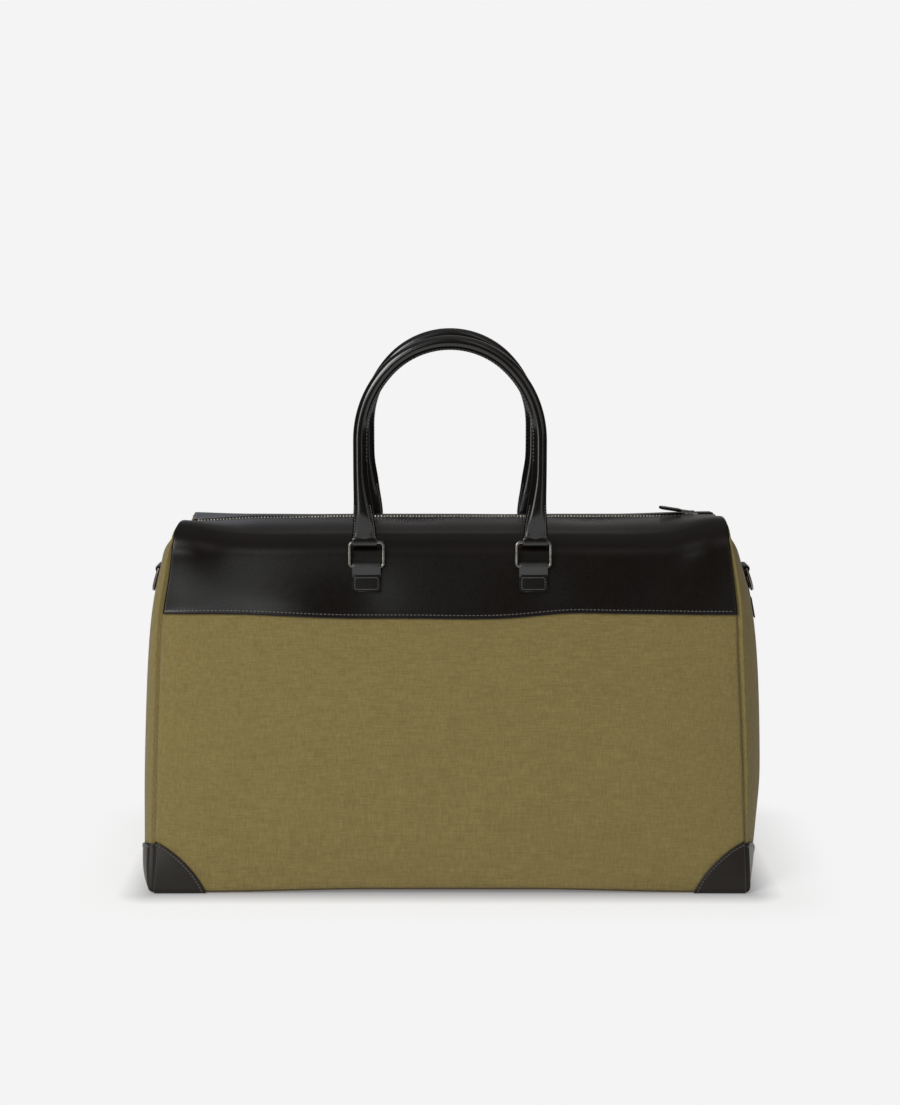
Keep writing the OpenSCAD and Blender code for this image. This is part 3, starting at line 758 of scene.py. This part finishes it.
def loop_path(length):
    """Centre line of a folded strap in (out, up), with its outward normals, round a bar at the
    origin: back layer from the lower end up, round the bar, and the front layer back down."""
    r = LOOP_R - STRAP_T / 2
    back, front = -r, -r + STRAP_T
    points, normals = [], []
    for t in np.linspace(0, 1, 7):
        points.append((back, -length + t * (length - 1.0)))
        normals.append((-1.0, 0.0))
    for a in np.linspace(math.pi, 0, 13):
        points.append((r * math.cos(a), r * math.sin(a)))
        normals.append((math.cos(a), math.sin(a)))
    drop = 8.0
    for t in np.linspace(0, 1, 12)[1:]:
        ease = t * t * (3 - 2 * t)
        points.append((r + (front - r) * ease, -drop * t))
        slope = (front - r) * 6 * t * (1 - t) / drop
        normals.append((1 / math.hypot(1, slope), -slope / math.hypot(1, slope)))
    for t in np.linspace(0, 1, 6)[1:]:
        points.append((front, -drop - t * (length - drop)))
        normals.append((1.0, 0.0))
    return points, normals


def tab_piece(name, origin, out, up, across, width, length, node, stitched_from=9.2):
    """A folded tab on its bar, sewn round the edge of its flat part."""
    points, normals = loop_path(length)
    path = [origin + out * o + up * s for o, s in points]
    outs = [out * o + up * s for o, s in normals]
    turn = len(path) - 7
    verts, faces = strap(path[:turn + 1], outs[:turn + 1], across, width)
    # the loop part takes the lighter leather: a painted highlight on its bulge
    piece(name, verts, faces, loop_leather_painted_light, "bag", "strap_leather", (node,))
    flat = [p - out * 0.3 for p in path[turn:]]
    verts, faces = strap(flat, outs[turn:], across, width)
    piece(name + "_flap", verts, faces, strap_leather, "bag", "strap_leather")
    surface = -LOOP_R + 2 * STRAP_T + 0.02
    rim_w, rim_low = width / 2 - 0.75, 0.75 - length
    corners = [(-rim_w, -stitched_from), (-rim_w, rim_low), (rim_w, rim_low), (rim_w, -stitched_from)]
    for number, pair in enumerate(zip(corners, corners[1:])):
        ends = [origin + out * (surface - 0.1) + across * a + up * s for a, s in pair]
        around = np.cross(ends[1] - ends[0], out)
        around /= np.linalg.norm(around)
        angles = [k * math.pi / 4 for k in range(8)]
        ring = [around * math.cos(a) * 0.55 + out * math.sin(a) * 0.5 for a in angles]
        rim = swept([[end + point for point in ring] for end in ends])
        piece(f"{name}_rim_{number}", *rim, strap_leather, "bag", "strap_leather", level=0)
    w = width / 2 - 2.3
    low = -length + 2.6
    line = [(-w, -stitched_from), (-w, low), (w, low), (w, -stitched_from), (-w, -stitched_from)]
    rows = []
    for pair in zip(line, line[1:]):
        ends = [origin + out * surface + across * a + up * s for a, s in pair]
        rows.append(stitch_row(ends, out, TAB_PITCH, 0.27, 0.2))
    stitching(name + "_stitching", rows, "bag")


def ring_tab(side_y, rear, side_x):
    node = f"{side_y}_{side_x}_ring_tab"
    y, z = bar_place(box_mm(f"{side_y}_{side_x}_ring"), rear, False)
    low, high = box_mm(node)
    sign = -1 if rear else 1
    out = np.array([0, -math.cos(LEAN) * sign, math.sin(LEAN)])
    up = np.array([0, math.sin(LEAN) * sign, math.cos(LEAN)])
    origin = np.array([(low[0] + high[0]) / 2, y, z])
    length = 18.0 + LOOP_R
    tab_piece(f"{side_y}_{side_x}_tab", origin, out, up, np.array([1.0, 0, 0]), RING_W, length, node)


def d_ring_tab(side_x, right):
    node = f"{side_x}_d_ring_tab"
    low, high = box_mm(node)
    ring_low, ring_high = box_mm(f"{side_x}_d_ring")
    slope = math.radians(D_TAB_SLOPE[right])
    sign = 1 if right else -1
    out = np.array([math.cos(slope) * sign, 0, math.sin(slope)])
    up = np.array([-math.sin(slope) * sign, 0, math.cos(slope)])
    bar_z = ring_high[2] - WIRE_D / 2
    bar_x = (ring_low[0] + WIRE_D / 2) if right else (ring_high[0] - WIRE_D / 2)
    origin = np.array([bar_x, 0.0, bar_z])
    tab_piece(f"{side_x}_end_tab", origin, out, up, np.array([0, 1.0, 0]), high[1] - low[1],
              40.0 + LOOP_R, node, 25.0)


# ---- Handles -----------------------------------------------------
ROLL_R = 5.35                     # radius of the leather roll
LIP = 1.35                        # how far the sewn lip stands off the roll, inside the arch
RING_SIDES = 28
LEG_X = 73.7                      # where the legs stand, from the middle
LUG_W = 20.6                      # width of the leather that goes round a ring's bar
FOOT_TOP = 350.0                  # height where a foot has become round
FOOT_Z = (291, 305, 313, 321, 330, 340, 346)               # heights on a foot of a handle
FOOT_OUT = (80.2, 79.6, 79.0, 78.8, 78.9, 79.0, 79.05)     # its outer edge there, from the middle
FOOT_IN = (59.6, 61.0, 63.0, 64.6, 66.4, 68.0, 68.35)      # its inner edge


def handle_path(apex, leg_x, leg_low):
    """Points and directions along the roll from the left leg to the right, as (x, z)."""
    side_r = leg_x + 10
    bend = math.radians(45)
    top_r = side_r - (side_r - leg_x) / math.cos(bend)
    leg_top = apex - 6 - top_r - (side_r - leg_x) * math.tan(bend)
    top_c = leg_top + (side_r - leg_x) * math.tan(bend)
    half = []
    for z in np.linspace(leg_low, leg_top, 14)[:-1]:
        half.append((leg_x, z, 0.0))
    for a in np.linspace(0, bend, 14)[:-1]:
        half.append((leg_x - side_r + side_r * math.cos(a), leg_top + side_r * math.sin(a), a))
    for a in np.linspace(bend, math.pi / 2, 14):
        half.append((top_r * math.cos(a), top_c + top_r * math.sin(a), a))
    left = [(-x, z, math.pi - a) for x, z, a in half]
    return left + half[-2::-1]


def roll_radius(phi):
    """Outline of the roll: round, with a sewn lip at phi = 180 degrees and a groove beside it."""
    d = abs(math.degrees(phi) % 360 - 180)
    return ROLL_R + LIP * math.exp(-(d / 15) ** 2) - 0.45 * math.exp(-((d - 34) / 11) ** 2)


def handle(side, rear):
    bar_y, bar_z = bar_place(box_mm(f"{side}_right_ring"), rear, True)
    foot_low = bar_z + LOOP_R * 0.3
    path = handle_path(box_mm(f"{side}_handle")[1][2], LEG_X, FOOT_TOP)

    def foot(t):
        """Middle, half width, half thickness, squareness and height of the foot, from the ring up."""
        z = foot_low + t * (FOOT_TOP - foot_low)
        inner, outer = (sum(float(np.interp(z + d, FOOT_Z, edge)) for d in (-4, 0, 4)) / 3
                        for edge in (FOOT_IN, FOOT_OUT))
        thick = LOOP_R + (ROLL_R - LOOP_R) * smooth(t, 0.0, 0.4)
        return (inner + outer) / 2, (outer - inner) / 2, thick, 2.9 - 0.9 * smooth(t, 0, 0.12), z

    def flare_ring(t, x_sign):
        """Section between the flat end (t = 0) and the round leg (t = 1)."""
        x, half_w, half_t, power, z = foot(t)
        x *= x_sign
        points = []
        for k in range(RING_SIDES):
            phi = 2 * math.pi * k / RING_SIDES
            c, s = math.cos(phi), math.sin(phi)
            reach = (abs(c) ** power + abs(s) ** power) ** (-1 / power)
            grow = 1 + (roll_radius(phi) / ROLL_R - 1) * smooth(t, 0.25, 0.7)
            points.append(np.array([x + x_sign * c * reach * half_w * grow,
                                    bar_y + s * reach * half_t * grow, z]))
        return points

    def leg_ring(x, z, a):
        middle, out = np.array([x, bar_y, z]), np.array([math.cos(a), 0, math.sin(a)])
        points = []
        for k in range(RING_SIDES):
            phi = 2 * math.pi * k / RING_SIDES
            r = roll_radius(phi)
            points.append(middle + out * math.cos(phi) * r + np.array([0, 1, 0]) * math.sin(phi) * r)
        return points

    left = [flare_ring(t, -1) for t in np.linspace(0, 1, 16)[:-1]]
    right = [flare_ring(t, 1) for t in np.linspace(1, 0, 16)[1:]]
    rings = left + [leg_ring(*p) for p in path] + right
    r = LOOP_R - STRAP_T / 2
    arc = [(-r, z, (-1.0, 0.0)) for z in (5.0, 2.5)]
    arc += [(r * math.cos(a), r * math.sin(a), (math.cos(a), math.sin(a)))
            for a in np.linspace(math.pi, 2 * math.pi, 15)]
    arc += [(r, z, (1.0, 0.0)) for z in (2.5, 5.0)]
    outs = [np.array([0, *normal]) for _, _, normal in arc]
    parts = [swept(rings)]
    for x_sign in (-1, 1):
        lug_x = x_sign * (FOOT_IN[0] + FOOT_OUT[0]) / 2
        line = [np.array([lug_x, bar_y + y, bar_z + z]) for y, z, _ in arc]
        parts.append(strap(line, outs, np.array([1.0, 0, 0]), LUG_W))
    verts, faces = joined(parts)
    piece(f"{side}_rolled_handle", verts, faces, handle_leather, f"{side}_handle", "handle_leather",
          (f"{side}_handle",))
    rows = []
    for face in (-1, 1):
        points = [np.array([x, bar_y + face * 1.25, z])
                  - np.array([math.cos(a), 0, math.sin(a)]) * (ROLL_R + 0.3) for x, z, a in path]
        rows.append(stitch_row(points, np.array([0, face, 0]), 3.0, 0.26, 4.0))
    beside = 0.84                 # how far out the sewing of a foot runs
    for x_sign, edge, face in product((-1, 1), repeat=3):
        points = []
        for t in np.linspace(0.05, 0.5, 12):
            x, half_w, half_t, power, z = foot(t)
            height = (1 - beside ** power) ** (1 / power) * half_t + 0.1
            points.append(np.array([x * x_sign + edge * beside * half_w, bar_y + face * height, z]))
        rows.append(stitch_row(points, np.array([0, face, 0]), 2.2, 0.26, 0.2))
    stitching(f"{side}_handle_stitching", rows, f"{side}_handle")


# ---- Zip ---------------------------------------------------------
TOOTH_PITCH = 2.7
TOOTH_HALF = TOOTH_PITCH * 0.22
REAR_DROP = 0.8                   # how far the rear row of teeth lies under the front row
STOP_X = -212                     # place of the bottom stop
PIN_Z = 303.0                     # height of the pin that the pull hangs on
PULL_TILT = math.radians(8.5)     # slope of the pull as it lies


def zip_sink(x):
    """How far the chain lies under its straight line: the leather hides its left part."""
    return -1.3 * (1 - smooth(x, -140, -95)) - 2.6 * (1 - smooth(x, -223, -158))


def zip_parts():
    teeth_low, teeth_high = box_mm("front_zip_teeth")
    chain_z = (teeth_low[2] + teeth_high[2]) / 2
    tooth_in, tooth_out = -teeth_high[1], -teeth_low[1]
    x0, x1 = teeth_low[0], teeth_high[0]
    count = int((x1 - x0) / TOOTH_PITCH)
    for side, rear in SIDES:
        sign = 1 if rear else -1
        parts = []
        for k in range(count):
            x = x0 + (k + (0.75 if rear else 0.25)) * TOOTH_PITCH
            z = chain_z + zip_sink(x) - (REAR_DROP if rear else 0)
            parts.append(tooth(x, sign, z, tooth_in, tooth_out))
        verts, faces = joined(parts)
        piece(f"{side}_teeth", verts, faces, zip_metal, "bag", "zip_metal", (f"{side}_zip_teeth",), level=0)
        half_x = box_mm(f"{side}_zip_tape")[1][0]
        profile = [(tooth_out - 1.0, chain_z), (tooth_out + 0.6, chain_z + 0.05), (5.2, chain_z - 0.5),
                   (7.2, chain_z - 2.8), (11, chain_z - 3.9), (16.5, chain_z - 4.6)]
        rows = []
        for x in spread(-half_x + 1, half_x - 1, 90):
            row = []
            for y, z in profile:
                wave = 0.12 * math.sin(x * 0.21) + 0.1 * math.sin(x * 0.083 + 1)
                fade = smooth(y, 4, 8)
                sunk = zip_sink(x) * (1 - fade)
                row.append((x, sign * y, z + wave * fade + rise(x, TOP_S - 10) * fade + sunk))
            rows.append(row)
        verts, faces = thick_sheet(rows, 0.6, (0, 0, 600))
        piece(f"{side}_tape", verts, faces, zip_tape, "bag", "zip_tape", (f"{side}_zip_tape",))


def tooth(x, sign, z, y_in, y_out):
    """One scoop tooth: a clamp on the tape and a narrower head with a bead."""
    stations = ((y_out + 0.5, 0.8, 1.2), (y_out, 1.0, 1.6), (y_out - 0.8, 1.0, 1.6), (y_in + 1.1, 0.6, 0.9),
                (y_in + 0.3, 0.7, 0.8), (y_in, 0.5, 0.6))
    outline = ((-1, -0.6), (-0.6, -1), (0.6, -1), (1, -0.6), (1, 0.6), (0.6, 1), (-0.6, 1), (-1, 0.6))
    return swept([[(x + a * wide * TOOTH_HALF, sign * y, z + b * tall) for a, b in outline]
                  for y, wide, tall in stations])


def pull_tab():
    """The leather pull: a rounded, slightly domed tongue, sewn round its edge."""
    low, high = box_mm("zip_slider")
    pin = np.array([(low[0] + high[0]) / 2, 0.0, PIN_Z])
    back = np.array([-math.cos(PULL_TILT), 0, math.sin(PULL_TILT)])
    up = np.array([math.sin(PULL_TILT), 0, math.cos(PULL_TILT)])
    across = np.array([0, 1.0, 0])
    rows = []
    start, end, half_w = 9.0, 28.0, 4.5
    for t in spread(0, 1, 18, (0.02, 0.05), (0.01, 0.03, 0.06)):
        d = start + t * (end - start)
        past = max(0.0, d - (end - half_w)) / half_w
        if past > 0:
            w = half_w * math.sqrt(max(0.0, 1 - past ** 2))
        else:
            w = half_w * (0.8 + 0.2 * smooth(d, start, start + 4))
        rows.append([pin + back * d + across * q * max(w, 0.25) + up * (1.2 - 0.25 * abs(q) ** 3)
                     for q in spread(-1, 1, 9, (0.06, 0.16))])
    verts, faces = thick_sheet(rows, 2.2, pin + up * 100)
    piece("pull_leather", verts, faces, strap_leather, "zip_pull", "strap_leather", ("zip_pull_tab",))
    w = half_w - 1.2
    straight = np.linspace(start + 1, end - half_w, 6)
    line = [(d, -w) for d in straight]
    for a in np.linspace(-math.pi / 2, math.pi / 2, 9)[1:-1]:
        line.append((end - half_w + w * math.cos(a), w * math.sin(a)))
    line += [(d, w) for d in straight[::-1]]
    points = [pin + back * d + across * a + up * 1.2 for d, a in line]
    stitching("pull_stitching", [stitch_row(points, up, 1.9, 0.2, 0.3)], "zip_pull")


# ---- Lining ------------------------------------------------------
def lining():
    """One soft bag inside the shell, open along the zip."""
    inset = 4.6
    floor_z, half_floor = 6.2, 105
    x_end = 218.0
    centre = np.array([0.0, 150.0])

    def loop(x, scale, x_out):
        """The section at x from one lip of the mouth to the other, drawn in round its middle by scale."""
        mouth = 2.0 if abs(x) < 205 else 0.4
        samples = spread(8.0, TOP_S - mouth, 30)
        front, rear = ([shell_point(x, s, -inset, side)[1:] for s in samples] for side in (False, True))
        bottom = [np.array([y, floor_z]) for y in np.linspace(-half_floor, half_floor, 12)]
        ring = [np.array([y, max(z, floor_z)]) for y, z in front[::-1] + bottom + rear]
        return [(x_out, *(centre + (q - centre) * scale)) for q in ring]

    end_cap = ((0.12, 13.0), (0.45, 12.2), (0.75, 9.0), (0.93, 4.0))
    rows = [loop(-x_end, scale, -x_end - grow) for scale, grow in end_cap]
    rows += [loop(x, 1.0, x) for x in np.linspace(-x_end, x_end, 41)]
    rows += [loop(x_end, scale, x_end + grow) for scale, grow in end_cap[::-1]]
    verts, faces = thick_sheet(rows, 0.8, (0, -500, 150))
    piece("lining_bag", verts, faces, lining_cloth, "bag", "lining", ("lining",), level=0)


# ---- CAD nodes that stay as they are -----------------------------
def dress(node, material):
    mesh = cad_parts[node].data
    mesh.materials.clear()
    mesh.materials.append(material)
    mesh.polygons.foreach_set("material_index", [0] * len(mesh.polygons))


for side_y in ("front", "rear"):
    for side_x in ("left", "right"):
        dress(f"{side_y}_{side_x}_ring", ring_metal)
    dress(f"{side_y}_handle_core", core_cord)
for side_x in ("left", "right"):
    dress(f"{side_x}_d_ring", ring_metal)
for node in ("zip_slider", "zip_pull_link", "zip_top_stops"):
    dress(node, zip_metal)
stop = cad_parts["zip_bottom_stop"]
stop_verts = [stop.matrix_world @ v.co / MM + Vector((0, 0, zip_sink(STOP_X))) for v in stop.data.vertices]
stop_faces = [tuple(f.vertices) for f in stop.data.polygons]
piece("bottom_stop", stop_verts, stop_faces, zip_metal, "bag", "zip_metal", ("zip_bottom_stop",), level=0)
dress("base_board", board_cover)

for side_y, rear in SIDES:
    canvas_panel(side_y, rear)
    yoke(side_y, rear)
    yoke_stitching(side_y, rear)
    handle(side_y, rear)
    for side_x, right in ENDS:
        corner_patches(side_y, rear, side_x, right)
        ring_tab(side_y, rear, side_x)
for side_x, right in ENDS:
    gusset(side_x, right)
    d_ring_tab(side_x, right)
base_panel()
zip_parts()
pull_tab()
lining()


# ---- Floor, light and camera -------------------------------------
PAPER = 0.905                     # brightness of the plain background
FLOOR_GLOW = 0.6                  # the part of it that shadows on the floor leave alone
FLOOR_REACH = 1.6                 # half the side of the paper that the bag stands on


def floor():
    """Plain paper: it takes the bag's shadow close by, with a painted shadow dimming its glow round the
    bag's footprint, and runs out into the plain background.
    """
    mesh = bpy.data.meshes.new("floor")
    r = FLOOR_REACH
    mesh.from_pydata([(-r, -r, 0), (r, -r, 0), (r, r, 0), (-r, r, 0)], [], [(0, 1, 2, 3)])
    n = Nodes("floor_paper")
    xyz = n.axes()
    off_end, off_side = (n.math("MAXIMUM", n.math("SUBTRACT", n.math("ABSOLUTE", axis), half * MM), 0.0)
                         for axis, half in ((xyz[X], HALF_L), (xyz[Y], HALF_D)))
    squares = n.math("ADD", n.math("MULTIPLY", off_end, off_end), n.math("MULTIPLY", off_side, off_side))
    distance = n.math("SQRT", squares)
    # painted shadow: the floor's glow dims to a third at the edge of the bag's footprint
    close = n.ramp(distance, 0.0, 0.03, 0.3 * FLOOR_GLOW, FLOOR_GLOW)
    far = n.ramp(distance, 0.0, 0.10, 0.0, 1.0, "SMOOTHSTEP")
    grain = n.ramp(n.noise(n.place, 900.0, 2.0), 0.3, 0.7, 0.44, 0.46)
    n.finish(Base_Color=grain, Roughness=0.9, Specular_IOR_Level=0.0, Emission_Color=rgb(1, 1, 1),
             Emission_Strength=close)
    glow = n.put("Emission", {"Color": rgb(PAPER, PAPER, PAPER), "Strength": 1.0})
    blend = n.put("MixShader", {0: far, 1: n.shader.outputs[0], 2: glow.outputs[0]})
    n.tree.links.new(blend.outputs[0], n.tree.nodes["Material Output"].inputs[0])
    mesh.materials.append(n.material)
    obj = bpy.data.objects.new("floor", mesh)
    bpy.context.collection.objects.link(obj)


# Soft boxes of the studio, each as azimuth (0 is the camera's side, 90 the right) and elevation,
# how narrow it is sideways and upwards, its strength and its colour
ROOM = (0.041, 0.035, 0.031)      # colour of the dark room round them
SOFT_BOXES = (
    (180, 6, 2, 4, 0.12, (1.0, 1.0, 1.0)),
    (0, 89, 0, 4, 0.36, (1.0, 1.0, 1.0)),
    (-17, 12, 110, 230, 6.5, (0.9, 1.0, 0.97)),
    (-42, 8, 150, 8, 6.5, (0.97, 1.0, 1.0)),
    (40, 10, 200, 10, 1.6, (1.0, 1.0, 1.0)),
    (22, 10, 200, 140, 0.6, (1.0, 0.98, 0.95)),
    (-17, 40, 60, 30, 0.85, (0.93, 0.96, 1.08)),
    (19, 40, 70, 30, 1.3, (1.0, 0.9, 0.9)),
    (193, 13, 150, 60, 0.6, (0.86, 0.95, 1.15)),
    (167, 15, 120, 60, 0.6, (1.0, 0.92, 0.93)),
)


def studio_world():
    """A dark room with a pale wall behind the bag, and soft boxes round it."""
    world = bpy.data.worlds.new("studio")
    bpy.context.scene.world = world
    world.use_nodes = True
    tree = world.node_tree
    back = tree.nodes["Background"]
    new = lambda kind: tree.nodes.new("ShaderNode" + kind)

    def put(kind, operation, *values):
        node = new(kind)
        node.operation = operation
        for socket, value in zip(node.inputs, values):
            feed(tree, socket, value)
        return node.outputs["Value" if operation == "DOT_PRODUCT" else 0]

    direction = new("TexCoord").outputs["Generated"]
    flat = put("VectorMath", "NORMALIZE", put("VectorMath", "MULTIPLY", direction, (1, 1, 0)))
    height = put("VectorMath", "DOT_PRODUCT", direction, (0, 0, 1))
    total = ROOM
    for azimuth, elevation, narrow, low, strength, colour in SOFT_BOXES:
        a, e = math.radians(azimuth), math.radians(elevation)
        sideways = put("VectorMath", "DOT_PRODUCT", flat, (math.sin(a), -math.cos(a), 0))
        sideways = put("Math", "POWER", put("Math", "MAXIMUM", sideways, 0.0), float(narrow))
        angle = put("Math", "SUBTRACT", put("Math", "ARCSINE", height, 0.0), e)
        upwards = put("Math", "MAXIMUM", put("Math", "COSINE", angle, 0.0), 0.0)
        upwards = put("Math", "POWER", upwards, float(low))
        box = put("Math", "MULTIPLY", put("Math", "MULTIPLY", sideways, upwards), strength)
        scaled = put("VectorMath", "SCALE", colour)
        feed(tree, scaled.node.inputs["Scale"], box)
        total = put("VectorMath", "ADD", scaled, total)
    seen = new("Mix")
    seen.data_type = "RGBA"
    tree.links.new(new("LightPath").outputs["Is Camera Ray"], seen.inputs[0])
    tree.links.new(total, seen.inputs[6])
    seen.inputs[7].default_value = rgb(PAPER, PAPER, PAPER)
    tree.links.new(seen.outputs[2], back.inputs["Color"])


def soft_light(name, place, target, size, watts, colour):
    data = bpy.data.lights.new(name, "AREA")
    data.shape = "RECTANGLE"
    data.size, data.size_y = size
    data.energy = watts
    data.color = colour
    obj = bpy.data.objects.new(name, data)
    obj.location = place
    obj.rotation_euler = (Vector(target) - Vector(place)).to_track_quat("-Z", "Y").to_euler()
    bpy.context.collection.objects.link(obj)


def camera():
    data = bpy.data.cameras.new("camera")
    data.lens = 71.19
    data.sensor_width = 36.0
    data.clip_end = 200.0
    obj = bpy.data.objects.new("camera", data)
    obj.location = (0.0, -1.8584, 0.5263)
    obj.rotation_euler = (math.radians(90 - 7.915), 0.0, 0.0)
    bpy.context.collection.objects.link(obj)
    bpy.context.scene.camera = obj


floor()
studio_world()
soft_light("key", (-1.0, -1.15, 1.15), (0, 0, 0.15), (0.8, 0.8), 14, (1.0, 0.99, 0.98))
soft_light("fill", (1.6, -0.9, 0.9), (0, 0, 0.2), (0.5, 1.3), 1.7, (0.98, 0.98, 1.0))
camera()
bpy.context.scene.view_settings.view_transform = "Standard"
